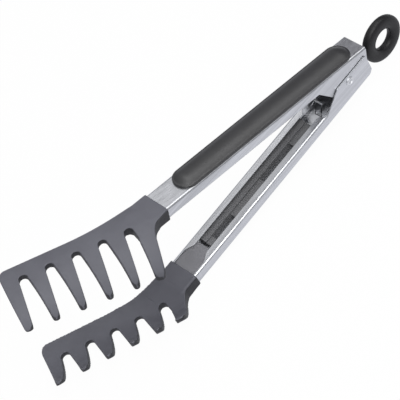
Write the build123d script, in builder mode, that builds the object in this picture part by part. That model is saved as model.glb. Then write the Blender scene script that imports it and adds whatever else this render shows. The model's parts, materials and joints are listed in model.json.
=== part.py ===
"""Spring loaded comb tongs: two sheet steel arms on a rivet, nylon comb heads and a pull ring lock.

Every arm is drawn in its own frame: the hinge axis is the origin, X runs towards the heads and Z points
outwards, away from the other arm. The tongs are drawn open, lying on the pull ring and the lower grip.
"""

import os
from math import acos, atan2, ceil, cos, hypot, pi, radians, sin, sqrt, tan

from build123d import *

os.makedirs("parts", exist_ok=True)

# Opening of the two arms, in degrees
open_angle = 17.0
closed_angle = 5.0

# Place of the hinge axis in the part's frame, and how far the lower arm dips towards the heads, in degrees
hinge_x = -108.315
hinge_y = 5.206
rest_dip = 3.55

# Sheet steel arms
sheet = 0.8
lower_width = 22.2
cheek_gap = 0.3
bend_radius = 1.9
pivot_depth = 14.8
flange_height = 8.6
arm_tail = 19.0
arm_reach = 174.0
lip_width = 5.6
lip_start = 29.0
lip_stop = 26.0
lip_slope = 6.5
lip_narrow_width = 2.2
lip_corner = 4.0
cheek_past_pivot = 4.7
cheek_root = 26.0
lower_cheek_front = 11.0
upper_cheek_front = 14.5
cheek_round = 2.0
tail_corner = 4.0
stop_foot = 5.0
stop_gap = 1.0

# Hinge rivet and the sleeve on it
rivet_radius = 2.0
rivet_head_radius = 3.2
rivet_head_height = 1.1
rivet_bore_radius = 0.9
rivet_bore_depth = 2.0
press_clearance = 0.02
running_clearance = 0.06
sleeve_radius = 2.8
end_play = 0.3

# Opening spring
wire = 1.2
wire_sides = 8
coil_clearance = 0.35
extra_turns = 2
coil_inner_place = 3.0
spring_leg = 27.0
spring_rest_gap = 0.3
spring_samples = 600

# Pull lock: slide, guide pin, catch and ring
lock_travel = 7.0
lock_sheet = 1.5
lock_bar_height = 9.6
lock_neck_height = 6.4
lock_reach = 35.0
hook_width = 5.0
hook_depth = 10.1
hook_nose = 4.5
hook_nose_height = 1.2
slot_end_play = 0.35
guide_pin_place = 14.2
guide_pin_radius = 1.5
catch_bar_place = 21.5
catch_bar_depth = 5.4
catch_bar_radius = 1.0
catch_inner_width = 4.8
catch_foot = 11.0
ring_place = 44.0
ring_radius = 17.2
ring_bore_radius = 7.6
ring_thickness = 7.2
ring_round = 2.6
ring_chamfer = 1.9
ring_land = 3.0
ring_pocket = 4.4
pocket_clearance = 0.05

# Soft grips and the frames that hold them
grip_start = -10.5
grip_stop = 26.0
grip_width = 18.4
grip_crown = 4.0
grip_edge = 1.0
stud_radius = 2.6
stud_depth = 2.4
stud_shares = (0.08, 0.62)
frame_start = 36.5
frame_stop = 32.0
frame_height = 5.4
frame_rail = 8.6
block_recess = 1.6
frame_gaps = ((0.175, 0.47), (0.763, 0.943))
frame_clearance = 0.15
inner_round = 1.1
stud_clearance = 0.05

# Comb heads
collar_wall = 0.9
collar_back = 8.7
collar_ahead = 3.0
collar_chamfer = 1.1
tang_reach = 29.5
tang_clearance = 0.1
comb_ahead = 48.2
comb_y = -13.1
comb_drop = 3.9
comb_turn = 25.6
comb_bend = 6.8
tooth_tilt = 30.0
tooth_pitch = 17.5
slot_count = 5
slot_shift = 1.6
slot_root_place = 0.3
slot_lean = -2.2
slot_root_radius = 3.0
slot_mouth_width = 12.4
tooth_reach = 29.0
tooth_lean = 2.2
comb_thickness = 4.4
tip_thickness = 2.8
spine_rise = -1.5
crown_place = 1.2
crown_rise = 1.3
spine_offset = 8.7
spine_bend_place = 5.0
comb_back = 21.0
comb_margin = 7.4
heel_place = -62.0
heel_drop = 0.8
knee_place = -38.0
knee_drop = 0.5
toe_place = 54.0
first_tooth_taper = 5.0
last_tooth_tip = 45.0
last_tooth_root = (-48.1, 5.8)
neck_near = (-60.0, -0.4)
neck_far = (-49.6, -17.3)
tip_gap = 0.4
tip_round = 2.0
spine_corner = 5.0
neck_fillet = 9.0
neck_reach = 20.0
neck_shift = 3.0
neck_drop = 4.2
neck_thickness = 3.4

dip = radians(rest_dip)
lift = radians(open_angle - rest_dip)
hinge_z = ring_radius + ring_place * sin(lift)
hinge_point = (hinge_x, hinge_y, hinge_z)
upper_width = lower_width - 2 * (sheet + cheek_gap)
flange_edge = pivot_depth - flange_height
lip_end = arm_reach - lip_stop
grip_end = arm_reach - grip_stop
frame_length = arm_reach - frame_stop - frame_start
stud_places = [frame_start + share * frame_length for share in stud_shares]
collar_start = arm_reach - collar_back
collar_end = arm_reach + collar_ahead
comb_x = arm_reach + comb_ahead
comb_z = pivot_depth - comb_drop
lower_frame = Plane(hinge_point, x_dir=(cos(dip), 0, -sin(dip)), z_dir=(-sin(dip), 0, -cos(dip)))
upper_frame = Plane(hinge_point, x_dir=(cos(lift), 0, sin(lift)), z_dir=(-sin(lift), 0, cos(lift)))


def on(frame, plane):
    """A plane given in an arm's own frame, placed in the part's frame."""
    return Plane(frame.location * plane.location)


def along(frame, direction):
    """A direction given in an arm's own frame, as an axis through the hinge in the part's frame."""
    return Axis(frame.origin, frame.from_local_coords(Vector(direction)) - frame.origin)


def make_arm(frame, width, cheek_front, cheek_points, holes):
    """A channel with return lips, cheeks at the hinge end and holes for the pins and the grip's studs."""
    lengthwise = along(frame, (1, 0, 0))
    outwards = along(frame, (0, 0, 1))
    inside = width / 2 - sheet
    with BuildPart() as arm:
        with BuildSketch(on(frame, Plane.XZ)) as side:
            with BuildLine():
                Polyline((arm_reach, pivot_depth), (arm_reach, flange_edge), *cheek_points, close=True)
            make_face()
            cheek_corners = side.vertices().filter_by_position(Axis.X, -2 * arm_tail, cheek_front + sheet)
            fillet(cheek_corners.filter_by_position(Axis.Y, -pivot_depth, pivot_depth - sheet), cheek_round)
        extrude(amount=width / 2, both=True)
        outer_face = arm.faces().sort_by(outwards)[-1]
        fillet(outer_face.edges().filter_by(lengthwise), bend_radius)
        lip_face = arm.faces().filter_by(outwards).sort_by(lengthwise)[-1]
        fillet(lip_face.edges().filter_by(lengthwise), bend_radius)
        with BuildSketch(on(frame, Plane.YZ.offset(-arm_tail))):
            with Locations((0, pivot_depth - sheet - (flange_height - 2 * sheet) / 2)):
                RectangleRounded(2 * inside, flange_height - 2 * sheet, bend_radius - sheet)
        extrude(amount=arm_tail + arm_reach, mode=Mode.SUBTRACT)
        with BuildSketch(on(frame, Plane((0, 0, pivot_depth - flange_height / 2)))):
            Rectangle(2 * (arm_tail + arm_reach), 2 * inside)
            with BuildLine():
                lip_line = FilletPolyline(
                    (lip_start, width),
                    (lip_start, width / 2 - lip_width),
                    (lip_end, width / 2 - lip_width),
                    (lip_end + lip_slope, width / 2 - lip_narrow_width),
                    (arm_reach + 2 * lip_corner, width / 2 - lip_narrow_width),
                    (arm_reach + 2 * lip_corner, width),
                    radius=lip_corner,
                )
                Line(lip_line @ 1, lip_line @ 0)
            lip = make_face(mode=Mode.SUBTRACT)
            mirror(lip, about=Plane.XZ, mode=Mode.SUBTRACT)
        extrude(amount=-2 * pivot_depth, mode=Mode.SUBTRACT)
        with BuildSketch(on(frame, Plane((0, 0, pivot_depth)))):
            with Locations(*[(place, 0) for place in stud_places]):
                Circle(stud_radius + stud_clearance)
        extrude(amount=-sheet, mode=Mode.SUBTRACT)
        with BuildSketch(on(frame, Plane.XZ)):
            for place, radius in holes:
                with Locations((place, 0)):
                    Circle(radius)
        extrude(amount=width, both=True, mode=Mode.SUBTRACT)
    return arm


def make_grip(frame):
    """A crowned soft pad with round ends on the arm's outer face, and the studs that hold it."""
    radius = grip_width / 2
    with BuildPart() as grip:
        with BuildSketch(on(frame, Plane.YZ.offset(grip_start + radius))):
            with BuildLine():
                crown = ThreePointArc(
                    (-radius, pivot_depth + grip_edge),
                    (0, pivot_depth + grip_crown),
                    (radius, pivot_depth + grip_edge),
                )
                Polyline(crown @ 1, (radius, pivot_depth), (-radius, pivot_depth), crown @ 0)
            make_face()
        extrude(amount=grip_end - grip_start - 2 * radius)
        for place in (grip_start + radius, grip_end - radius):
            end_plane = on(frame, Plane.YZ.offset(place))
            with BuildSketch(end_plane):
                add(half_crown(radius))
            revolve(axis=Axis(end_plane.origin, frame.z_dir))
        with BuildSketch(on(frame, Plane((0, 0, pivot_depth)))):
            with Locations(*[(place, 0) for place in stud_places]):
                Circle(stud_radius)
        extrude(amount=-(sheet + stud_depth))
    return grip


def half_crown(radius):
    """Half of the grip's cross section, from its middle line to its edge."""
    rise = grip_crown - grip_edge
    arch_radius = (radius**2 + rise**2) / (2 * rise)
    with BuildSketch() as half:
        with BuildLine():
            Line((0, pivot_depth), (radius, pivot_depth))
            Line((radius, pivot_depth), (radius, pivot_depth + grip_edge))
            RadiusArc((radius, pivot_depth + grip_edge), (0, pivot_depth + grip_crown), -arch_radius)
            Line((0, pivot_depth + grip_crown), (0, pivot_depth))
        make_face()
    return half.sketch


def make_grip_frame(frame, width):
    """A rail along one side of the channel with lower blocks beside it, which hold the grip's studs."""
    frame_width = width - 2 * (sheet + frame_clearance)
    block_side = -frame_width / 2
    block_width = frame_width - frame_rail
    with BuildPart() as rail:
        with BuildSketch(on(frame, Plane.YZ.offset(frame_start))):
            with Locations((0, pivot_depth - sheet - frame_height / 2)):
                RectangleRounded(frame_width, frame_height, inner_round)
            with Locations((block_side, pivot_depth - sheet - frame_height)):
                Rectangle(2 * block_width, 2 * block_recess, mode=Mode.SUBTRACT)
        extrude(amount=frame_length)
        with BuildSketch(on(frame, Plane((frame_start, block_side, pivot_depth - sheet)))):
            for start, end in frame_gaps:
                with Locations(((start + end) / 2 * frame_length, 0)):
                    Rectangle((end - start) * frame_length, 2 * block_width)
        extrude(amount=-frame_height, mode=Mode.SUBTRACT)
        with BuildSketch(on(frame, Plane((0, 0, pivot_depth - sheet)))):
            with Locations(*[(place, 0) for place in stud_places]):
                Circle(stud_radius + stud_clearance)
        extrude(amount=-(stud_depth + stud_clearance), mode=Mode.SUBTRACT)
    return rail


def comb_point(side, along_spine, across, height):
    """A point of the comb in its arm's frame: along the spine, across towards the teeth, and outwards."""
    turn = radians(comb_turn)
    x = comb_x + along_spine * cos(turn) + across * sin(turn)
    y = comb_y - along_spine * sin(turn) + across * cos(turn)
    return Vector(x, side * y, height)


def comb_section(frame, side, along_spine, root_height):
    """The comb's arched cross section at one place along its spine, past the spine edge and the tips."""
    turn = radians(comb_turn)
    half_closed = radians(closed_angle / 2)
    tip_x = comb_point(side, along_spine, tooth_reach, 0).X
    tip_height = -tip_x * tan(half_closed)
    drop = root_height - tip_height
    fall = atan2(drop, tooth_reach)
    plane = Plane(
        comb_point(side, along_spine, 0, 0),
        x_dir=(sin(turn), side * cos(turn), 0),
        z_dir=(side * cos(turn), -sin(turn), 0),
    )
    over = comb_thickness
    with BuildSketch(on(frame, plane)) as section:
        with BuildLine():
            outer = ThreePointArc(
                (-comb_back, root_height + spine_rise),
                (crown_place, root_height + crown_rise),
                (tooth_reach + over * cos(fall), tip_height - over * sin(fall)),
            )
            inner = ThreePointArc(
                (-comb_back, root_height + spine_rise - comb_thickness),
                (crown_place, root_height + crown_rise - comb_thickness),
                outer @ 1 - Vector(sin(fall), cos(fall)) * tip_thickness,
            )
            Line(outer @ 0, inner @ 0)
            Line(outer @ 1, inner @ 1)
        make_face()
    return section.sketch


def tip_line(along_spine):
    """How far the teeth reach from the slots' roots on the comb's own plane, at one place along the spine."""
    tip_height = -comb_point(1, along_spine, tooth_reach, 0).X * tan(radians(closed_angle / 2))
    drop = comb_z - along_spine * tan(radians(comb_bend)) - tip_height
    return tooth_reach * cos(radians(tooth_tilt)) + drop * sin(radians(tooth_tilt))


def comb_slots():
    """The tapered slots between the teeth, with round roots and mouths flared to round the teeth's tips."""
    half_mouth = slot_mouth_width / 2
    root_middle = slot_root_place + slot_root_radius
    mouth = tooth_reach - tip_round
    with BuildSketch() as slots:
        for number in range(slot_count):
            place = (number - (slot_count - 1) / 2) * tooth_pitch + slot_shift
            with BuildLine():
                root = ThreePointArc(
                    (place - slot_root_radius, root_middle),
                    (place, slot_root_place),
                    (place + slot_root_radius, root_middle),
                )
                near_edge = Line(root @ 0, (place + slot_lean - half_mouth, mouth))
                far_edge = Line(root @ 1, (place + slot_lean + half_mouth, mouth))
                near_flare = TangentArc(near_edge @ 1, near_edge @ 1 + Vector(-tip_round, tip_round), tangent=near_edge % 1)
                far_flare = TangentArc(far_edge @ 1, far_edge @ 1 + Vector(tip_round, tip_round), tangent=far_edge % 1)
                beyond = Vector(0, tooth_reach)
                Polyline(near_flare @ 1, near_flare @ 1 + beyond, far_flare @ 1 + beyond, far_flare @ 1)
            make_face()
    return slots.sketch


def make_head(frame, side, width):
    """A comb with a spine set across the arm, a collar round the arm's end and a tang inside it."""
    turn = radians(comb_turn)
    bend = radians(comb_bend)
    tilt = radians(tooth_tilt)
    spine = Vector(cos(turn) * cos(bend), -side * sin(turn) * cos(bend), -sin(bend))
    across = Vector(sin(turn), side * cos(turn), 0)
    normal = spine.cross(across) * (side * cos(tilt)) + across * sin(tilt)
    comb_plane = Plane((comb_x, side * comb_y, comb_z), x_dir=spine, z_dir=normal * side)
    slot_plane = Plane(
        (comb_x, side * comb_y, 0),
        x_dir=(cos(turn), -side * sin(turn), 0),
        z_dir=(0, 0, side),
    )
    comb_end = slot_count * tooth_pitch / 2 + comb_margin
    collar_middle = pivot_depth - flange_height / 2
    collar_width = width + 2 * collar_wall
    collar_height = flange_height + 2 * collar_wall
    tang_inset = 2 * (sheet + 2 * tang_clearance)
    half_closed = radians(closed_angle / 2)
    meeting_plane = Plane(
        (0, 0, tip_gap / 2),
        x_dir=(cos(half_closed), 0, -sin(half_closed)),
        z_dir=(sin(half_closed), 0, cos(half_closed)),
    )
    with BuildPart() as head:
        toe_drop = comb_drop + toe_place * tan(bend)
        for place, drop in ((heel_place, heel_drop), (knee_place, knee_drop), (toe_place, toe_drop)):
            add(comb_section(frame, side, place, pivot_depth - drop))
        loft(ruled=True)
        with BuildSketch(on(frame, comb_plane)) as outline:
            with BuildLine():
                edge = Polyline(
                    neck_far,
                    neck_near,
                    last_tooth_root,
                    (tooth_lean - last_tooth_tip, tip_line(-last_tooth_tip)),
                    (comb_end - first_tooth_taper + tooth_lean, tip_line(comb_end)),
                    (comb_end, -spine_offset),
                    (spine_bend_place, -spine_offset),
                )
                TangentArc(edge @ 1, edge @ 0, tangent=(-1, 0))
            make_face()
            fillet(outline.vertices().sort_by(Axis.X)[-1], spine_corner)
            fillet(outline.vertices().sort_by_distance(last_tooth_root)[0], neck_fillet)
            fillet(outline.vertices().filter_by_position(Axis.Y, tooth_reach, 2 * tooth_reach), tip_round)
        extrude(amount=4 * tooth_pitch, both=True, mode=Mode.INTERSECT)
        with BuildSketch(on(frame, Plane.YZ.offset(collar_end))) as collar:
            with Locations((0, collar_middle)):
                Rectangle(collar_width, collar_height)
            chamfer(collar.vertices(), collar_chamfer)
        with BuildSketch(on(frame, Plane.YZ.offset(arm_reach + neck_reach))) as neck:
            with Locations((-side * neck_shift, pivot_depth - neck_drop)):
                Rectangle(collar_width, neck_thickness)
            chamfer(neck.vertices(), collar_chamfer)
        loft(ruled=True)
        with BuildSketch(on(frame, Plane((collar_end, 0, pivot_depth + collar_wall)))):
            Rectangle(2 * tooth_pitch * slot_count, 2 * tooth_pitch * slot_count)
        extrude(amount=tooth_pitch, mode=Mode.SUBTRACT)
        with BuildSketch(on(frame, Plane.YZ.offset(collar_start))) as collar:
            with Locations((0, collar_middle)):
                Rectangle(collar_width, collar_height)
            chamfer(collar.vertices(), collar_chamfer)
        extrude(amount=collar_end - collar_start)
        with BuildSketch(on(frame, Plane.YZ.offset(arm_reach + tang_clearance))):
            with Locations((0, collar_middle)):
                Rectangle(width + 2 * tang_clearance, flange_height + 2 * tang_clearance)
        extrude(amount=-arm_reach, mode=Mode.SUBTRACT)
        with BuildSketch(on(frame, Plane.YZ.offset(arm_reach - tang_reach))):
            with Locations((0, collar_middle)):
                RectangleRounded(width - tang_inset, flange_height - tang_inset, inner_round)
        extrude(amount=tang_reach + sheet)
        with BuildSketch(on(frame, slot_plane)):
            add(comb_slots())
        extrude(amount=4 * tooth_pitch, both=True, mode=Mode.SUBTRACT)
        split(bisect_by=on(frame, meeting_plane), keep=Keep.TOP)
    return head


stop_depth = (pivot_depth - sheet - stop_gap - arm_tail * sin(radians(open_angle))) / cos(radians(open_angle))

# Lower arm, whose cheeks stand outside the upper arm's
lower_arm = make_arm(
    lower_frame,
    lower_width,
    lower_cheek_front,
    [
        (cheek_root, flange_edge),
        (lower_cheek_front, -cheek_past_pivot),
        (-arm_tail, -cheek_past_pivot),
        (-arm_tail, pivot_depth - tail_corner),
        (-arm_tail + tail_corner, pivot_depth),
    ],
    [(0, rivet_radius + press_clearance)],
)

# Upper arm, whose cheeks end in feet that stop the opening on the lower arm's floor
upper_arm = make_arm(
    upper_frame,
    upper_width,
    upper_cheek_front,
    [
        (cheek_root, flange_edge),
        (upper_cheek_front, -cheek_past_pivot),
        (-rivet_head_radius, -cheek_past_pivot),
        (
            -arm_tail + stop_foot * cos(radians(open_angle)),
            -stop_depth - stop_foot * sin(radians(open_angle)),
        ),
        (-arm_tail, -stop_depth),
        (-arm_tail, pivot_depth),
    ],
    [(0, rivet_radius + running_clearance), (-guide_pin_place, guide_pin_radius + press_clearance)],
)

lower_grip = make_grip(lower_frame)
upper_grip = make_grip(upper_frame)
lower_grip_frame = make_grip_frame(lower_frame, lower_width)
upper_grip_frame = make_grip_frame(upper_frame, upper_width)
upper_head = make_head(upper_frame, 1, upper_width)
lower_head = make_head(lower_frame, -1, lower_width)

# Hinge rivet with a formed head at each end
with BuildPart() as hinge_rivet:
    shank_end = lower_width / 2
    with BuildSketch(on(upper_frame, Plane.YX)):
        with BuildLine():
            Polyline(
                (0, 0),
                (0, rivet_radius),
                (shank_end, rivet_radius),
                (shank_end, rivet_head_radius),
                (shank_end + rivet_head_height / 2, rivet_head_radius),
                (shank_end + rivet_head_height, rivet_radius),
                (shank_end + rivet_head_height, rivet_bore_radius),
                (shank_end + rivet_head_height - rivet_bore_depth, rivet_bore_radius),
                (shank_end + rivet_head_height - rivet_bore_depth, 0),
                close=True,
            )
        make_face()
        mirror(about=Plane.YZ)
    revolve(axis=along(upper_frame, (0, 1, 0)))

# Sleeve that carries the spring's coils and guides the lock
with BuildPart() as hinge_sleeve:
    with BuildSketch(on(upper_frame, Plane.XZ)):
        Circle(sleeve_radius)
        Circle(rivet_radius + press_clearance, mode=Mode.SUBTRACT)
    extrude(amount=upper_width / 2 - sheet - end_play, both=True)

# Pin across the upper arm's cheeks that keeps the lock in line with that arm
with BuildPart() as lock_guide_pin:
    with BuildSketch(on(upper_frame, Plane.XZ)):
        with Locations((-guide_pin_place, 0)):
            Circle(guide_pin_radius)
    extrude(amount=upper_width / 2, both=True)

# Lock slide: a plate with two slots, a stem for the ring and a hook for the catch
with BuildPart() as lock_slide:
    stem_end = -ring_place + ring_radius - ring_pocket + pocket_clearance
    bar_start = -guide_pin_place - guide_pin_radius - slot_end_play - lock_sheet
    bar_end = lock_travel + sleeve_radius + slot_end_play + 2 * lock_sheet
    with BuildSketch(on(upper_frame, Plane.XZ)):
        with Locations(((bar_start + bar_end) / 2, 0)):
            RectangleRounded(bar_end - bar_start, lock_bar_height, lock_sheet)
        with Locations(((stem_end + lock_reach) / 2, 0)):
            Rectangle(lock_reach - stem_end, lock_neck_height)
        with Locations((lock_reach - hook_width / 2, -hook_depth / 2)):
            Rectangle(hook_width, hook_depth)
        with Locations((lock_reach - hook_width - hook_nose / 2, -hook_depth + hook_nose_height / 2)):
            Rectangle(hook_nose, hook_nose_height)
        for place, radius in ((0, sleeve_radius), (-guide_pin_place, guide_pin_radius)):
            with Locations((place + lock_travel / 2, 0)):
                slot_length = lock_travel + 2 * (radius + slot_end_play)
                SlotOverall(slot_length, 2 * (radius + running_clearance), mode=Mode.SUBTRACT)
    extrude(amount=lock_sheet / 2, both=True)

# Catch on the lower arm's floor: a folded bracket with a bar that the hook draws under
with BuildPart() as lock_catch:
    floor = pivot_depth - sheet
    ear_round = catch_bar_radius + sheet / 2
    with BuildSketch(on(lower_frame, Plane.XZ)):
        with BuildLine():
            Polyline(
                (catch_bar_place - catch_foot / 2, floor),
                (catch_bar_place - ear_round, catch_bar_depth),
                (catch_bar_place + ear_round, catch_bar_depth),
                (catch_bar_place + catch_foot / 2, floor),
                close=True,
            )
        make_face()
        with Locations((catch_bar_place, catch_bar_depth)):
            Circle(ear_round)
    extrude(amount=catch_inner_width / 2 + sheet, both=True)
    with BuildSketch(on(lower_frame, Plane.XZ)):
        Rectangle(2 * (catch_bar_place + catch_foot), 2 * (floor - sheet))
    extrude(amount=catch_inner_width / 2, both=True, mode=Mode.SUBTRACT)
    with BuildSketch(on(lower_frame, Plane.XZ)):
        with Locations((catch_bar_place, catch_bar_depth)):
            Circle(catch_bar_radius)
    extrude(amount=catch_inner_width / 2, both=True)

# Pull ring with a flat sided section, which also hangs the tongs on a hook
with BuildPart() as pull_ring:
    ring_plane = on(upper_frame, Plane((-ring_place, 0, 0)))
    with BuildSketch(ring_plane):
        with BuildLine():
            half_section = Polyline(
                (ring_bore_radius, 0),
                (ring_bore_radius, ring_land / 2),
                (ring_bore_radius + ring_chamfer, ring_thickness / 2),
                (ring_radius - ring_round, ring_thickness / 2),
                (ring_radius - ring_round * (1 - sin(pi / 4)), ring_thickness / 2 - ring_round * (1 - sin(pi / 4))),
                (ring_radius, ring_thickness / 2 - ring_round),
                (ring_radius, 0),
            )
            mirror(half_section, about=Plane.XZ)
        make_face()
    revolve(axis=Axis(ring_plane.origin, ring_plane.y_dir))
    with BuildSketch(on(upper_frame, Plane.XZ)):
        with Locations((-ring_place + ring_radius, 0)):
            Rectangle(2 * ring_pocket, lock_neck_height + 2 * pocket_clearance)
    extrude(amount=lock_sheet / 2 + pocket_clearance, both=True, mode=Mode.SUBTRACT)


def biarc(start, start_way, end, end_way):
    """Two arcs that join two points, each leaving along its own direction."""
    chord = end - start
    ways = start_way + end_way
    bend = 2 * (1 - start_way.dot(end_way))
    reach = (sqrt(chord.dot(ways) ** 2 + bend * chord.dot(chord)) - chord.dot(ways)) / bend
    middle = (start + end + (start_way - end_way) * reach) / 2
    middle_way = (end - start - ways * reach).normalized()
    TangentArc(start, middle, tangent=start_way)
    TangentArc(middle, end, tangent=middle_way)


# Opening spring: a coil each side of the lock, a loop on the upper arm and a leg each side on the lower arm
coil_radius = sleeve_radius + coil_clearance + wire / 2
coil_outer_place = upper_width / 2 - sheet - end_play - wire / 2
leg_height = pivot_depth - sheet - spring_rest_gap - wire / 2
opening = radians(open_angle)
loop_x = spring_leg * cos(opening) - leg_height * sin(opening)
loop_z = spring_leg * sin(opening) + leg_height * cos(opening)
lower_way_in = atan2(-leg_height, spring_leg) - acos(coil_radius / hypot(spring_leg, leg_height))
upper_way_out = atan2(loop_z, loop_x) + acos(coil_radius / hypot(loop_x, loop_z)) - 2 * pi * (1 + extra_turns)
coil_sweep = lower_way_in - upper_way_out
coil_steps = ceil(coil_sweep / (pi / 2))
coil_step = coil_sweep / coil_steps
coil_advance = (coil_outer_place - coil_inner_place) / (coil_steps - 1)


def in_lower(x, y, z):
    """A point given along the lower arm, across it and upwards from it, in the part's frame."""
    return lower_frame.from_local_coords(Vector(x, -y, -z))


def coil_node(number, hand):
    """A point of one coil and the wire's direction there, a step further round for each number."""
    angle = lower_way_in - number * coil_step
    rise = min(max(number - 0.5, 0), coil_steps - 1) * coil_advance
    slope = coil_advance / coil_step if 0 < number < coil_steps else 0
    place = in_lower(coil_radius * cos(angle), hand * (coil_outer_place - rise), coil_radius * sin(angle))
    way = in_lower(coil_radius * sin(angle), -hand * slope, -coil_radius * cos(angle)) - lower_frame.origin
    return place, way.normalized()


with BuildPart() as torsion_spring:
    with BuildLine() as spring_line:
        near = [coil_node(number, 1) for number in range(coil_steps + 1)]
        far = [(place, way * -1) for place, way in (coil_node(number, -1) for number in range(coil_steps, -1, -1))]
        loop_end = in_lower(loop_x, 0, loop_z)
        loop_start = loop_end - near[-1][1] * coil_inner_place
        side_step = Vector(0, coil_inner_place, 0)
        Line(in_lower(spring_leg, coil_outer_place, -leg_height), near[0][0])
        for (start, start_way), (end, end_way) in zip(near, near[1:]):
            biarc(start, start_way, end, end_way)
        Line(near[-1][0], loop_start + side_step)
        ThreePointArc(loop_start + side_step, loop_end, loop_start - side_step)
        Line(loop_start - side_step, far[0][0])
        for (start, start_way), (end, end_way) in zip(far, far[1:]):
            biarc(start, start_way, end, end_way)
        Line(far[-1][0], in_lower(spring_leg, -coil_outer_place, -leg_height))
    with BuildSketch(Plane(spring_line.line @ 0, z_dir=spring_line.line % 0)):
        RegularPolygon(wire / 2, wire_sides)
    sweep(clean=False)

# Least gap between the spring's turns, measured on points half a turn or more apart along the wire
wire_points = [spring_line.line @ (number / spring_samples) for number in range(spring_samples + 1)]
wire_length = sum(edge.length for edge in spring_line.edges())
half_turn = ceil(pi * coil_radius * spring_samples / wire_length)
turn_gaps = [
    (point - other).length - wire
    for number, point in enumerate(wire_points)
    for other in wire_points[number + half_turn :]
]
print("least gap between the spring's turns, mm:", round(min(turn_gaps), 3))

pieces = {
    "lower_arm": lower_arm,
    "upper_arm": upper_arm,
    "lower_grip": lower_grip,
    "upper_grip": upper_grip,
    "lower_grip_frame": lower_grip_frame,
    "upper_grip_frame": upper_grip_frame,
    "lower_head": lower_head,
    "upper_head": upper_head,
    "hinge_rivet": hinge_rivet,
    "hinge_sleeve": hinge_sleeve,
    "torsion_spring": torsion_spring,
    "lock_slide": lock_slide,
    "lock_guide_pin": lock_guide_pin,
    "lock_catch": lock_catch,
    "pull_ring": pull_ring,
}
for label, piece in pieces.items():
    piece.part.label = label
    export_step(piece.part, f"parts/{label}.step")
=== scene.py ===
"""Spring loaded comb tongs: surfaces, finishes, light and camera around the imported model."""

import json
from math import acos, atan2, cos, hypot, pi, radians, sin

import bmesh
import bpy
import numpy as np
from mathutils import Euler, Matrix
from mathutils.kdtree import KDTree


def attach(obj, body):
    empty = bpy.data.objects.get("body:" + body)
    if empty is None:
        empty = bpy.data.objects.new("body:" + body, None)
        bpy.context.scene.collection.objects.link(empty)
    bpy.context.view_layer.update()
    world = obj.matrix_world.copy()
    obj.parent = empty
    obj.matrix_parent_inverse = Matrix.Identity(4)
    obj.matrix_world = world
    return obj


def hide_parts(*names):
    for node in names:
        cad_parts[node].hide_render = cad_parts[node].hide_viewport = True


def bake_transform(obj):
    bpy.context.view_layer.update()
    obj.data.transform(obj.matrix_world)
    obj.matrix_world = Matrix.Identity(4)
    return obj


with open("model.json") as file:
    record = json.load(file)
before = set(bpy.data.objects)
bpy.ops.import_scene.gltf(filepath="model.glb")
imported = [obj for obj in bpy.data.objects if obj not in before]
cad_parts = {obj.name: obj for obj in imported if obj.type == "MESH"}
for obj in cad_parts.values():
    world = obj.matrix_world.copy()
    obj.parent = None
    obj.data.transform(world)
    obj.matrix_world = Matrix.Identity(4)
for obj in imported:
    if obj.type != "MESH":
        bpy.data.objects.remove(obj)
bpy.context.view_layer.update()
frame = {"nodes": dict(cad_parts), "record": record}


# Lower and upper arm: stainless sheet about 0.8 mm thick, bent into channels and drawn lengthwise with a
# satin brush. The cut edges are broken by tumbling, so each gets a narrow round.
hinge = np.array(frame["record"]["behaviour"]["joints"][0]["pos_m"])
rest_dip = radians(3.55)
rest_lift = radians(13.45)
lower_axes = np.array([[cos(rest_dip), 0, -sin(rest_dip)], [0, -1, 0], [-sin(rest_dip), 0, -cos(rest_dip)]])
upper_axes = np.array([[cos(rest_lift), 0, sin(rest_lift)], [0, 1, 0], [-sin(rest_lift), 0, cos(rest_lift)]])


def add_object(name, mesh):
    """An object at the origin that holds the mesh."""
    piece = bpy.data.objects.new(name, mesh)
    bpy.context.scene.collection.objects.link(piece)
    return piece


def bake_modifiers(piece):
    """The piece's mesh as its modifiers leave it, with the modifiers taken off."""
    bpy.context.view_layer.update()
    evaluated = piece.evaluated_get(bpy.context.evaluated_depsgraph_get())
    mesh = bpy.data.meshes.new_from_object(evaluated)
    piece.modifiers.clear()
    piece.data = mesh
    return piece


def welded_copy(node, name, crease=radians(26)):
    """The node's surface as one welded mesh: flat patches joined up, edges past the crease angle kept sharp."""
    mesh = frame["nodes"][node].data.copy()
    work = bmesh.new()
    work.from_mesh(mesh)
    bmesh.ops.remove_doubles(work, verts=work.verts, dist=3e-6)
    bmesh.ops.dissolve_degenerate(work, edges=work.edges, dist=1e-6)
    bmesh.ops.dissolve_limit(work, angle_limit=radians(0.4), verts=work.verts, edges=work.edges)
    work.to_mesh(mesh)
    work.free()
    mesh.materials.clear()
    mesh.polygons.foreach_set("use_smooth", np.ones(len(mesh.polygons), bool))
    mesh.set_sharp_from_angle(angle=crease)
    return add_object(name, mesh)


def round_edges(piece, width, crease=radians(26)):
    """A small round along every edge past the crease angle."""
    bevel = piece.modifiers.new("edge_round", "BEVEL")
    bevel.width = width
    bevel.segments = 2
    bevel.limit_method = "ANGLE"
    bevel.angle_limit = crease
    bevel.harden_normals = True
    bevel.miter_outer = "MITER_ARC"
    flatten = piece.modifiers.new("flat_faces", "WEIGHTED_NORMAL")
    flatten.keep_sharp = True
    return bake_modifiers(piece)


def node_maker(tree):
    """A function that adds a node to the tree and sets its inputs, or else its settings, by name."""

    def node(kind, **values):
        made = tree.nodes.new(kind)
        for key, value in values.items():
            if key in made.inputs:
                made.inputs[key].default_value = value
            else:
                setattr(made, key, value)
        return made

    return node


def new_finish(name):
    """A material with its shader, and functions to add a node and to link two sockets."""
    finish = bpy.data.materials.new(name)
    finish.use_nodes = True
    tree = finish.node_tree
    return finish, tree.nodes["Principled BSDF"], node_maker(tree), tree.links.new


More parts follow.
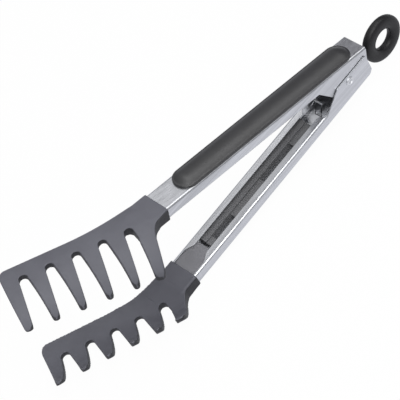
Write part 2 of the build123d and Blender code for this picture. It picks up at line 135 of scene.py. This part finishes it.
def noise_on(node, link, scale, stretch=(1, 1, 1), turn=0.0, detail=3.0):
    """Noise in the part's own coordinates: turned about Y, then stretched along the turned axes."""
    place = node("ShaderNodeTexCoord")
    mapping = node("ShaderNodeMapping", Rotation=(0, turn, 0), Scale=stretch)
    noise = node("ShaderNodeTexNoise", Scale=scale, Detail=detail, Roughness=0.6)
    link(place.outputs["Object"], mapping.inputs["Vector"])
    link(mapping.outputs["Vector"], noise.inputs["Vector"])
    return noise.outputs["Fac"]


def ramp_from(node, link, value, low, high, low_at=0.3, high_at=0.7):
    """Two colours or two numbers as greys, faded from one to the other over part of the value's range."""
    ramp = node("ShaderNodeValToRGB")
    for stop, colour, at in zip(ramp.color_ramp.elements, (low, high), (low_at, high_at)):
        stop.color = (*colour, 1) if isinstance(colour, tuple) else (colour, colour, colour, 1)
        stop.position = at
    link(value, ramp.inputs["Fac"])
    return ramp.outputs["Color"]


def bump_from(node, link, shader, value, depth, strength):
    """Relief of a given depth in metres from a value, on the shader's normal."""
    bump = node("ShaderNodeBump", Strength=strength, Distance=depth)
    link(value, bump.inputs["Height"])
    link(bump.outputs["Normal"], shader.inputs["Normal"])


streak_stretch, reflection_band_stretch, cloud_scale = (9, 1500, 1500), (5, 380, 380), 24.0
streak_tones, reflection_band_tones = (0.93, 1.07), (0.8, 1.0)
brush_gloss, gloss_span, cloud_share = (0.24, 0.4), (0.45, 1.05), 0.5
brush_depth, brush_strength = 0.000008, 0.05


def brushed_steel_painted_bands(name, tone, turn, coarse=1.0):
    """Steel brushed along the X axis turned by an angle: long fine streaks in tone, gloss and relief, and broad
    bands of painted reflection in tone."""
    finish, shader, node, link = new_finish(name)
    streaks = noise_on(node, link, 1.0, tuple(coarse * part for part in streak_stretch), turn, 4.0)
    clouds = noise_on(node, link, cloud_scale, (1, 1, 1), turn, 2.0)
    # Painted reflection: broad bands that make the steel lighter and darker along its length.
    bands = noise_on(node, link, 1.0, tuple(coarse * part for part in reflection_band_stretch), turn, 1.0)
    dark, light = (tuple(share * part for part in tone) for share in streak_tones)
    shade = node("ShaderNodeMixRGB", blend_type="MULTIPLY", Fac=1.0)
    link(ramp_from(node, link, streaks, dark, light), shade.inputs["Color1"])
    link(ramp_from(node, link, bands, *reflection_band_tones), shade.inputs["Color2"])
    link(shade.outputs["Color"], shader.inputs["Base Color"])
    mixed = node("ShaderNodeMath", operation="MULTIPLY_ADD")
    link(clouds, mixed.inputs[0])
    mixed.inputs[1].default_value = cloud_share
    link(streaks, mixed.inputs[2])
    link(ramp_from(node, link, mixed.outputs["Value"], *brush_gloss, *gloss_span), shader.inputs["Roughness"])
    bump_from(node, link, shader, streaks, brush_depth, brush_strength)
    shader.inputs["Metallic"].default_value = 1.0
    return finish


# Besides the brush streaks, the arms' colour carries broad bands of painted reflection.
arm_tone, arm_round = (0.61, 0.62, 0.645), 0.0001
for side, body, turn in (("lower", "lower_side", -rest_dip), ("upper", "upper_side", rest_lift)):
    arm = round_edges(welded_copy(f"{side}_arm", f"{side}_channel"), arm_round)
    arm.data.materials.append(brushed_steel_painted_bands(f"{side}_brushed_steel_painted_bands", arm_tone, turn))
    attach(arm, body)
    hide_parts(f"{side}_arm")


# Grip frames: dark moulded rails with side blocks, pressed into the channels to hold the soft grips' studs.
# They show between the arms, so the mould's fine grain is there too.
# The wall span sets where the painted shade on upright walls fades out, by how far the face turns up.
cloud_size, gloss_swing, grain_strength, painted_shade_span = 60.0, 0.07, 0.35, (0.3, 0.64)


def moulded_plastic(name, low, high, gloss, grain, depth, sheen=0.35, painted_wall_shade=1.0):
    """Moulded plastic: two tones in soft clouds, painted shade by a share on upright walls, and a fine grain in
    gloss and relief."""
    finish, shader, node, link = new_finish(name)
    clouds = noise_on(node, link, cloud_size, detail=4.0)
    fine = noise_on(node, link, grain, detail=2.0)
    place = node("ShaderNodeTexCoord")
    facing = node("ShaderNodeSeparateXYZ")
    upright = node("ShaderNodeMath", operation="ABSOLUTE")
    link(place.outputs["Normal"], facing.inputs["Vector"])
    link(facing.outputs["Z"], upright.inputs[0])
    shade = node("ShaderNodeMixRGB", blend_type="MULTIPLY", Fac=1.0)
    link(ramp_from(node, link, clouds, low, high), shade.inputs["Color1"])
    # Painted shade: the nearer a face is to upright, the more its colour is darkened, down to the wall share.
    link(ramp_from(node, link, upright.outputs["Value"], painted_wall_shade, 1.0, *painted_shade_span), shade.inputs["Color2"])
    link(shade.outputs["Color"], shader.inputs["Base Color"])
    link(ramp_from(node, link, fine, gloss - gloss_swing, gloss + gloss_swing), shader.inputs["Roughness"])
    bump_from(node, link, shader, fine, depth, grain_strength)
    shader.inputs["Specular IOR Level"].default_value = sheen
    return finish


rail_round = 0.0003
frame_plastic = moulded_plastic(
    "frame_plastic", (0.15, 0.151, 0.157), (0.175, 0.176, 0.184), gloss=0.6, grain=900, depth=0.000001)
for side, body in (("lower", "lower_side"), ("upper", "upper_side")):
    rail = round_edges(welded_copy(f"{side}_grip_frame", f"{side}_rail"), rail_round)
    rail.data.materials.append(frame_plastic)
    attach(rail, body)
    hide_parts(f"{side}_grip_frame")


# Grips: soft black rubber pads with round ends and a crowned back, snapped on by two studs through the
# arm and the frame. The edge that meets the steel is rounded.
def grid_quads(rows, columns):
    """The quads between the neighbours of a grid of points that closes round its columns."""
    row = np.arange(rows - 1)[:, None] * columns
    column = np.arange(columns)[None, :]
    after = (column + 1) % columns
    return np.stack([row + column, row + after, row + columns + after, row + columns + column], -1).reshape(-1, 4)


def surface(name, *grids):
    """One mesh of several point grids, each (rows, columns, 3) and closed round its columns, welded and smooth."""
    points, quads, count = [], [], 0
    for grid in grids:
        quads.append(grid_quads(*grid.shape[:2]) + count)
        points.append(grid.reshape(-1, 3))
        count += len(points[-1])
    mesh = bpy.data.meshes.new(name)
    mesh.from_pydata(np.concatenate(points).tolist(), [], np.concatenate(quads).tolist())
    work = bmesh.new()
    work.from_mesh(mesh)
    bmesh.ops.remove_doubles(work, verts=work.verts, dist=1e-6)
    bmesh.ops.recalc_face_normals(work, faces=work.faces)
    work.to_mesh(mesh)
    work.free()
    mesh.polygons.foreach_set("use_smooth", np.ones(len(mesh.polygons), bool))
    mesh.set_sharp_from_angle(angle=radians(40))
    return add_object(name, mesh)


def in_arm(axes, local):
    """Points given along an arm, across it and outwards from it, in metres, in the part's frame."""
    return hinge + local @ axes


def turned(profile, count):
    """A profile of (radius, height) pairs carried round the height axis: rows down the profile, columns round."""
    angle = np.linspace(0, 2 * pi, count, endpoint=False)
    radius, height = profile[:, 0, None], profile[:, 1, None]
    return np.stack([radius * np.cos(angle), radius * np.sin(angle), height + 0 * angle], -1)


outer_face = 0.0148
grip_start, grip_end, grip_half = -0.0105, 0.148, 0.0092
grip_crown, grip_edge, edge_round = 0.00398, 0.001, 0.0007
under_lip, grip_rings, grip_steps, round_steps = 0.001, 18, 96, 7
stud_radius, stud_length, stud_steps = 0.0026, 0.0032, 40
stud_places = (0.04494, 0.10191)


def grip_grid(rings, steps):
    """A stadium shrunk ring by ring to its middle line. Height over the ring's reach r is an arch through the
    crown and the edge, and the last of the reach turns down in a quarter round to the steel."""
    rise = grip_crown - grip_edge
    arch = (grip_half**2 + rise**2) / (2 * rise)
    turn = np.linspace(0, pi / 2, round_steps)
    under = np.array([0, grip_half - under_lip, grip_half])
    edge = grip_half - edge_round + edge_round * np.cos(turn)
    back = np.linspace(grip_half - edge_round, 0, rings)[1:]
    reach = np.concatenate([under, edge, back])
    crown = grip_crown - (arch - np.sqrt(arch**2 - back**2))
    height = np.concatenate([0 * under, crown[0] - edge_round + edge_round * np.sin(turn), crown])
    angle = np.linspace(0, 2 * pi, steps, endpoint=False) + pi / steps
    middle = np.where(np.cos(angle) > 0, grip_end - grip_half, grip_start + grip_half)
    along = middle + reach[:, None] * np.cos(angle)
    across = reach[:, None] * np.sin(angle)
    return np.stack([along, across, outer_face + height[:, None] + 0 * angle], -1)


stud_profile = np.array([[0, 1], [0.8, 1], [1, 0.95], [1, 0], [0, 0]]) * (stud_radius, -stud_length)
stud = turned(stud_profile, stud_steps) + (0, 0, outer_face)
grip_rubber = moulded_plastic(
    "grip_rubber", (0.018, 0.018, 0.019), (0.024, 0.024, 0.026), gloss=0.4, grain=2600, depth=0.00003, sheen=0.65)
for side, body, axes in (("lower", "lower_side", lower_axes), ("upper", "upper_side", upper_axes)):
    studs = [in_arm(axes, stud + (place, 0, 0)) for place in stud_places]
    grip = surface(f"{side}_soft_grip", in_arm(axes, grip_grid(grip_rings, grip_steps)), *studs)
    grip.data.materials.append(grip_rubber)
    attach(grip, body)
    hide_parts(f"{side}_grip")


# Comb heads: slate grey heat-proof nylon over a paler core that reaches into the arm. All edges are rounded
# as in the mould, so the solid is resampled finely and relaxed. A fillet joins the last tooth to the collar,
# and the inner face runs in one sweep from the collar into the comb.
comb_corner, comb_turn = np.array([0.2222, -0.0131]), radians(25.6)
tooth_start, tooth_tip, tip_round = -0.0015, 0.0299, 0.0025
top_arc, foot_arc = (-0.0057, -0.02408, 0.04027), (-0.005, -0.02644, 0.03804)
neck_top, tip_floor, collar_foot, foot_start, foot_end = 0.0149, -0.0081, 0.0052, 0.002, 0.014
edge_place, edge_slope, fillet_end, fillet_radius = -0.048, 0.113, 0.012, 0.016
wall_place, wall_reach, wall_slope, wall_retreat = -0.0376, 0.01, 0.085, 0.55
web_steps = 18


def web_grid(hand):
    """The last tooth in four-cornered sections, by reach v across the comb. Both faces are arcs. The outer edge is
    a line that a fillet of radius r carries to the collar: u = line(v) - (r - sqrt(r^2 - (v0 - v)^2)), where the
    foot also drops to the collar's height. The tip closes in a quarter round."""
    tip_start = tooth_tip - tip_round
    turn = np.concatenate([np.zeros(web_steps), np.linspace(0, pi / 2, round_steps)[1:-1]])
    straight = np.concatenate([np.linspace(tooth_start, tip_start, web_steps), np.full(round_steps - 2, tip_start)])
    reach = straight + tip_round * np.sin(turn)
    top, foot = (arc[1] + np.sqrt(arc[2] ** 2 - (reach - arc[0]) ** 2) for arc in (top_arc, foot_arc))
    top, foot = np.minimum(top, neck_top), np.maximum(foot, tip_floor)
    toe = foot - collar_foot * np.clip((foot_end - reach) / (foot_end - foot_start), 0, 1)
    edge = edge_place + edge_slope * (reach - fillet_end)
    edge = edge - fillet_radius + np.sqrt(fillet_radius**2 - np.maximum(0, fillet_end - reach) ** 2)
    wall = wall_place - wall_slope * np.maximum(0, reach - wall_reach)
    wall = wall - wall_retreat * np.maximum(0, wall_reach - reach)
    middle = (edge + wall) / 2
    edge, wall = (middle + (side_line - middle) * np.cos(turn) for side_line in (edge, wall))
    along = np.stack([wall, edge, edge, wall], 1)
    x = comb_corner[0] + along * cos(comb_turn) + reach[:, None] * sin(comb_turn)
    y = comb_corner[1] - along * sin(comb_turn) + reach[:, None] * cos(comb_turn)
    grid = np.stack([x, hand * y, np.stack([top, top, toe, foot], 1)], -1)
    ends = grid[[0, -1]].mean(1, keepdims=True).repeat(4, 1)
    return np.concatenate([ends[:1], grid, ends[1:]])


askew_turn = (0.6, 0.5, 0.7)


def fused(piece, extra, voxel):
    """The piece and an extra mesh as one even skin of quads. The grid is turned off the part's own directions,
    so that no long edge runs nearly along it and shows as steps."""
    work = bmesh.new()
    work.from_mesh(piece.data)
    work.from_mesh(extra.data)
    work.to_mesh(piece.data)
    work.free()
    bpy.data.objects.remove(extra)
    askew = Euler(askew_turn).to_matrix().to_4x4()
    piece.data.transform(askew)
    resample = piece.modifiers.new("resample", "REMESH")
    resample.mode = "VOXEL"
    resample.voxel_size = voxel
    resample.use_smooth_shade = True
    bake_modifiers(piece)
    piece.data.transform(askew.inverted())


neck_start, neck_end, collar_fade, comb_fade = 0.178, 0.212, 0.004, 0.008
sweep_reach, reach_fade, wall_depth = 0.011, 0.005, 0.003
face_limit, degree = -0.6, 3


def sweep_neck(piece, axes, hand):
    """The inner face between collar and comb set to the nearest cubic in x and y. Points of the walls beside it
    follow the nearest point of the face, less and less with their depth under it."""
    points, normals = np.empty((2, len(piece.data.vertices), 3))
    piece.data.vertices.foreach_get("co", points.ravel())
    piece.data.vertices.foreach_get("normal", normals.ravel())
    local = (points - hinge) @ axes.T
    flat = local[:, :2] * (1, hand) - comb_corner
    across = flat @ (sin(comb_turn), cos(comb_turn))
    weight = np.clip((local[:, 0] - neck_start) / collar_fade, 0, 1)
    weight = weight * np.clip((neck_end - local[:, 0]) / comb_fade, 0, 1)
    weight = weight * np.clip((sweep_reach - across) / reach_fade, 0, 1)
    face = np.nonzero((weight > 0) & (normals @ axes[2] < face_limit))[0]
    powers = [(i, j) for i in range(degree + 1) for j in range(degree + 1 - i)]
    scaled = flat[face] / (neck_end - neck_start)
    terms = np.stack([scaled[:, 0] ** i * scaled[:, 1] ** j for i, j in powers], 1)
    sweep = terms @ np.linalg.lstsq(terms, local[face, 2], rcond=None)[0] - local[face, 2]
    tree = KDTree(len(face))
    for number, index in enumerate(face):
        tree.insert((*flat[index], 0), number)
    tree.balance()
    for index in np.nonzero(weight > 0)[0]:
        number = tree.find((*flat[index], 0))[1]
        depth = abs(local[index, 2] - local[face[number], 2])
        points[index] += axes[2] * weight[index] * sweep[number] * max(0, 1 - depth / wall_depth)
    piece.data.vertices.foreach_set("co", points.ravel())
    piece.data.update()


# The comb's upright faces, such as the slot walls, get painted shade: their colour drops to 0.22 of the tone.
head_nylon = moulded_plastic(
    "head_nylon", (0.112, 0.113, 0.133), (0.13, 0.132, 0.154), gloss=0.55, grain=2200, depth=0.00005, painted_wall_shade=0.22)
tang_nylon = moulded_plastic(
    "tang_nylon", (0.2, 0.2, 0.216), (0.24, 0.24, 0.258), gloss=0.4, grain=2200, depth=0.00002)
comb_voxel, relax_share, relax_rounds, tang_end = 0.00046, 0.5, 6, 0.1651
for side, body, axes, hand in (("lower", "lower_side", lower_axes, -1), ("upper", "upper_side", upper_axes, 1)):
    comb = welded_copy(f"{side}_head", f"{side}_comb")
    fused(comb, surface("web", in_arm(axes, web_grid(hand))), comb_voxel)
    sweep_neck(comb, axes, hand)
    sweep_neck(comb, axes, hand)
    smooth = comb.modifiers.new("relax", "SMOOTH")
    smooth.factor = relax_share
    smooth.iterations = relax_rounds
    bake_modifiers(comb)
    comb.data.materials.append(head_nylon)
    comb.data.materials.append(tang_nylon)
    middles = np.empty(3 * len(comb.data.polygons))
    comb.data.polygons.foreach_get("center", middles)
    along = (middles.reshape(-1, 3) - hinge) @ axes[0]
    comb.data.polygons.foreach_set("material_index", (along < tang_end).astype(np.int32))
    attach(comb, body)
    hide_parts(f"{side}_head")


# Hinge rivet: turned steel, one formed head on each outer cheek with a dished middle. The faces show the
# rings of the forming tool.
ring_gloss, ring_depth, ring_strength = (0.42, 0.5), 0.000006, 0.1


def turned_steel(name, tone, rings_per_metre):
    """Steel turned about the hinge axis: fine rings round it in tone, gloss and relief."""
    finish, shader, node, link = new_finish(name)
    place = node("ShaderNodeTexCoord")
    centre = node("ShaderNodeMapping", Location=tuple(-hinge), Scale=(1, 0, 1))
    rings = node("ShaderNodeTexWave", Scale=rings_per_metre, Distortion=0.6, Detail=2.0)
    rings.wave_type = "RINGS"
    rings.rings_direction = "SPHERICAL"
    link(place.outputs["Object"], centre.inputs["Vector"])
    link(centre.outputs["Vector"], rings.inputs["Vector"])
    dark = tuple(0.9 * part for part in tone)
    link(ramp_from(node, link, rings.outputs["Fac"], dark, tone), shader.inputs["Base Color"])
    link(ramp_from(node, link, rings.outputs["Fac"], *ring_gloss), shader.inputs["Roughness"])
    bump_from(node, link, shader, rings.outputs["Fac"], ring_depth, ring_strength)
    shader.inputs["Metallic"].default_value = 1.0
    return finish


shank_radius, shank_end = 0.002, 0.0111
cap_radius, cap_height = 0.0032, 0.0011
dish_radius, dish_depth, dish_floor = 0.0017, 0.0013, 0.0004
rim_height, dome_rush, dish_lip = 0.35, 1.6, (0.86, 0.55)
rivet_steps = 56
dome = np.linspace(0, 1, 12)
cap = np.stack([
    cap_radius + (dish_radius - cap_radius) * dome,
    shank_end + cap_height * (rim_height + (1 - rim_height) * np.sin(pi / 2 * np.minimum(1, dome * dome_rush))),
], -1)
dish_bottom = shank_end + cap_height - dish_depth
dish = [
    [dish_radius * dish_lip[0], shank_end + cap_height * dish_lip[1]],
    [dish_floor, dish_bottom],
    [0, dish_bottom],
]
half = np.concatenate([[[shank_radius, 0], [shank_radius, shank_end], [cap_radius, shank_end]], cap, dish])
profile = np.concatenate([(half * (1, -1))[::-1], half[1:]])
rivet = surface("hinge_pin", hinge + turned(profile, rivet_steps)[..., [0, 2, 1]])
rivet.data.materials.append(turned_steel("turned_steel", (0.72, 0.73, 0.75), rings_per_metre=900))
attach(rivet, "lower_side")
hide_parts("hinge_rivet")


# Sleeve on the rivet: a plain moulded tube between the cheeks. The spring's coils lie round it.
small_round = 0.00012
sleeve = round_edges(welded_copy("hinge_sleeve", "pivot_sleeve"), small_round)
sleeve.data.materials.append(frame_plastic)
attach(sleeve, "lower_side")
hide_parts("hinge_sleeve")


# Opening spring: one hard drawn wire of 1.2 mm, coiled each side of the lock. Its free legs press on the
# lower arm and its middle loop on the upper arm, so it bends across the hinge.
wire_radius, coil_radius, spring_leg = 0.0006, 0.00375, 0.027
coil_outer, coil_inner = 0.0083, 0.003
leg_height, coil_turns, coil_hold = 0.0131, 3, 0.04
coil_steps, leg_steps, loop_steps, wire_sides = 260, 24, 30, 14
opening = rest_dip + rest_lift
loop_x = spring_leg * cos(opening) - leg_height * sin(opening)
loop_z = spring_leg * sin(opening) + leg_height * cos(opening)
way_in = atan2(-leg_height, spring_leg) - acos(coil_radius / hypot(spring_leg, leg_height))
way_out = atan2(loop_z, loop_x) + acos(coil_radius / hypot(loop_x, loop_z)) - 2 * pi * coil_turns


def spring_half():
    """From the free leg along a straight line to the coil, round it with no advance at both ends, and straight on
    to the loop: points (x along the lower arm, y across, z up), and the way the wire runs into the loop."""
    share = np.linspace(0, 1, coil_steps)
    eased = np.clip((share - coil_hold) / (1 - 2 * coil_hold), 0, 1)
    angle = way_in + (way_out - way_in) * share
    advance = coil_outer + (coil_inner - coil_outer) * eased
    coil = np.stack([coil_radius * np.cos(angle), advance, coil_radius * np.sin(angle)], -1)
    step = np.linspace(0, 1, leg_steps)[:, None]
    leg = np.array([spring_leg, coil_outer, -leg_height]) * (1 - step) + coil[0] * step
    way = np.array([np.sin(angle[-1]), 0, -np.cos(angle[-1])])
    run = coil[-1] * (1 - step) + (np.array([loop_x, coil_inner, loop_z]) - way * coil_inner) * step
    return np.concatenate([leg[:-1], coil, run[1:]]), way


half_path, loop_way = spring_half()
swing = np.linspace(0, pi, loop_steps)[1:-1, None]
loop_middle = half_path[-1] * (1, 0, 1)
loop_path = loop_middle + coil_inner * (np.cos(swing) * (0, 1, 0) + np.sin(swing) * loop_way)
path = np.concatenate([half_path, loop_path, (half_path * (1, -1, 1))[::-1]])
tangent = np.gradient(path, axis=0)
tangent /= np.linalg.norm(tangent, axis=1, keepdims=True)
inward = np.cross(tangent, (0, 1, 0))
loop_start, loop_end = len(half_path), len(half_path) + len(loop_path)
inward[loop_end:] *= -1
inward[loop_start:loop_end] = np.cross(loop_way, (0, 1, 0))
inward /= np.linalg.norm(inward, axis=1, keepdims=True)
beside = np.cross(tangent, inward)
round_wire = np.linspace(0, 2 * pi, wire_sides, endpoint=False)
tube = path[:, None] + wire_radius * (
    np.cos(round_wire)[:, None] * inward[:, None] + np.sin(round_wire)[:, None] * beside[:, None])
tube = np.concatenate([path[:1, None] + 0 * tube[:1], tube, path[-1:, None] + 0 * tube[:1]])
spring = surface("opening_spring", in_arm(lower_axes, tube * (1, -1, -1)))
# The wire's colour carries the same broad bands of painted reflection.
spring.data.materials.append(brushed_steel_painted_bands("drawn_wire", (0.5, 0.51, 0.53), rest_lift, coarse=2.0))
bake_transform(spring)
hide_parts("torsion_spring")


# Lock: a stamped steel plate that slides on the sleeve and a pin, with a hook that draws under a folded
# catch on the lower arm. Punched edges are slightly rounded.
# The lock's steel colour carries the same broad bands of painted reflection.
lock_steel = brushed_steel_painted_bands("stamped_steel", (0.58, 0.59, 0.61), rest_lift, coarse=1.4)
for node, name, body, slot in (
    ("lock_slide", "lock_plate", "pull_lock", "lock_steel"),
    ("lock_guide_pin", "guide_pin", "upper_side", "pin_steel"),
    ("lock_catch", "catch_bracket", "lower_side", "lock_steel"),
):
    piece = round_edges(welded_copy(node, name), small_round)
    piece.data.materials.append(lock_steel)
    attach(piece, body)
    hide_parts(node)


# Pull ring: black moulded ring on the plate's stem, fully rounded outside and slightly flat in the bore.
# It also hangs the tongs on a hook.
ring_place, ring_outer, ring_bore, ring_half = 0.044, 0.01719, 0.0076, 0.0036
section_steps, ring_steps, squareness = 64, 120, 0.78
ring_middle = hinge - ring_place * upper_axes[0]
turn = np.linspace(0, 2 * pi, section_steps, endpoint=False)
middle_radius, reach_out = (ring_outer + ring_bore) / 2, (ring_outer - ring_bore) / 2
section = np.stack([
    middle_radius + reach_out * np.sign(np.cos(turn)) * np.abs(np.cos(turn)) ** squareness,
    ring_half * np.sign(np.sin(turn)) * np.abs(np.sin(turn)) ** squareness,
], -1)
section = np.concatenate([section, section[:1]])
ring = surface("finger_ring", ring_middle + turned(section, ring_steps)[..., [0, 2, 1]])
ring_plastic = moulded_plastic(
    "ring_plastic", (0.01, 0.01, 0.011), (0.015, 0.015, 0.016), gloss=0.45, grain=2400, depth=0.00004, sheen=0.26)
ring.data.materials.append(ring_plastic)
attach(ring, "pull_lock")
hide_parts("pull_ring")


# Studio: a pale floor that shows white to the camera and keeps a faint shadow, large soft lamps, and a
# camera at the photo's angle.
floor_half, floor_drop, floor_tone, floor_gloss = 3.0, 0.0002, (0.86, 0.86, 0.865, 1), 0.9
camera_share, glossy_share, bounce_tint, white = 0.97, 0.75, (0.93, 0.94, 1, 1), (1, 1, 1, 1)
floor_mesh = bpy.data.meshes.new("studio_floor")
floor_corners = [(x * floor_half, y * floor_half, -floor_drop) for x, y in ((-1, -1), (1, -1), (1, 1), (-1, 1))]
floor_mesh.from_pydata(floor_corners, [], [(0, 1, 2, 3)])
floor = add_object("studio_floor", floor_mesh)
floor_finish, floor_shader, node, link = new_finish("studio_floor")
floor_shader.inputs["Base Color"].default_value = floor_tone
floor_shader.inputs["Roughness"].default_value = floor_gloss
rays = node("ShaderNodeLightPath")
mirrored = node("ShaderNodeMath", operation="MULTIPLY")
link(rays.outputs["Is Glossy Ray"], mirrored.inputs[0])
mirrored.inputs[1].default_value = glossy_share
share = node("ShaderNodeMath", operation="MULTIPLY_ADD")
link(rays.outputs["Is Camera Ray"], share.inputs[0])
share.inputs[1].default_value = camera_share
link(mirrored.outputs["Value"], share.inputs[2])
tint = node("ShaderNodeMixRGB", Color1=bounce_tint, Color2=white)
link(rays.outputs["Is Camera Ray"], tint.inputs["Fac"])
glow = node("ShaderNodeEmission", Strength=1.0)
link(tint.outputs["Color"], glow.inputs["Color"])
mix = node("ShaderNodeMixShader")
link(share.outputs["Value"], mix.inputs["Fac"])
link(floor_shader.outputs["BSDF"], mix.inputs[1])
link(glow.outputs["Emission"], mix.inputs[2])
link(mix.outputs["Shader"], floor_finish.node_tree.nodes["Material Output"].inputs["Surface"])
floor.data.materials.append(floor_finish)

scene = bpy.context.scene
scene.view_settings.view_transform = "Standard"
plain_strength, glossy_gain, camera_gain = 0.35, 0.45, 0.65
dusk_way = (-0.848, -0.449, 0.28)
world = bpy.data.worlds.new("studio")
scene.world = world
world.use_nodes = True
sky, sky_link = world.node_tree.nodes["Background"], world.node_tree.links.new
sky_node = node_maker(world.node_tree)
rays = sky_node("ShaderNodeLightPath")
direction = sky_node("ShaderNodeTexCoord")
parts = sky_node("ShaderNodeSeparateXYZ")
sky_link(direction.outputs["Generated"], parts.inputs["Vector"])
height = ramp_from(sky_node, sky_link, parts.outputs["Z"], (0.3, 0.31, 0.34), (0.8, 0.8, 0.81), 0.05, 0.8)
towards = sky_node("ShaderNodeVectorMath", operation="DOT_PRODUCT")
sky_link(direction.outputs["Generated"], towards.inputs[0])
towards.inputs[1].default_value = dusk_way
dusk = ramp_from(sky_node, sky_link, towards.outputs["Value"], 1.0, (0.08, 0.065, 0.11), 0.9, 0.95)
shaded = sky_node("ShaderNodeMixRGB", blend_type="MULTIPLY", Fac=1.0)
sky_link(height, shaded.inputs["Color1"])
sky_link(dusk, shaded.inputs["Color2"])
camera_white = sky_node("ShaderNodeMixRGB", Color2=white)
sky_link(rays.outputs["Is Camera Ray"], camera_white.inputs["Fac"])
sky_link(shaded.outputs["Color"], camera_white.inputs["Color1"])
sky_link(camera_white.outputs["Color"], sky.inputs["Color"])
glossy_strength = sky_node("ShaderNodeMath", operation="MULTIPLY_ADD")
sky_link(rays.outputs["Is Glossy Ray"], glossy_strength.inputs[0])
glossy_strength.inputs[1].default_value = glossy_gain
glossy_strength.inputs[2].default_value = plain_strength
camera_strength = sky_node("ShaderNodeMath", operation="MULTIPLY_ADD")
sky_link(rays.outputs["Is Camera Ray"], camera_strength.inputs[0])
camera_strength.inputs[1].default_value = camera_gain
sky_link(glossy_strength.outputs["Value"], camera_strength.inputs[2])
sky_link(camera_strength.outputs["Value"], sky.inputs["Strength"])


lamp_aim = (0, 0, 0.04)


def area_lamp(name, place, size, power):
    """A square soft lamp at a place, turned to the middle of the tongs."""
    lamp = bpy.data.lights.new(name, "AREA")
    lamp.size = size
    lamp.energy = power
    holder = bpy.data.objects.new(name, lamp)
    scene.collection.objects.link(holder)
    holder.location = place
    away = np.array(place) - np.array(lamp_aim)
    holder.rotation_euler = (acos(away[2] / np.linalg.norm(away)), 0, atan2(away[1], away[0]) + pi / 2)


area_lamp("key_lamp", (0.15, 0.65, 1.55), size=1.2, power=15)
area_lamp("back_lamp", (-0.6, -0.95, 1.0), size=0.7, power=0.8)
area_lamp("edge_lamp", (-1.0, 0.1, 1.25), size=0.6, power=2.5)
area_lamp("fill_lamp", (0.4, 0.9, 1.5), size=1.6, power=7)
area_lamp("top_lamp", (-0.6, -0.28, 1.3), size=0.5, power=3)

lens = bpy.data.cameras.new("photo_camera")
lens.sensor_width, lens.lens, lens.clip_end = 36.0, 173.38, 20.0
camera = bpy.data.objects.new("photo_camera", lens)
scene.collection.objects.link(camera)
right, up, back = (-0.64656, 0.69897, -0.30562), (-0.72112, -0.42929, 0.54377), (0.24888, 0.57197, 0.78161)
eye = (0.32784, 0.70679, 1.00668)
camera.matrix_world = Matrix([[right[k], up[k], back[k], eye[k]] for k in range(3)] + [[0, 0, 0, 1]])
scene.camera = camera
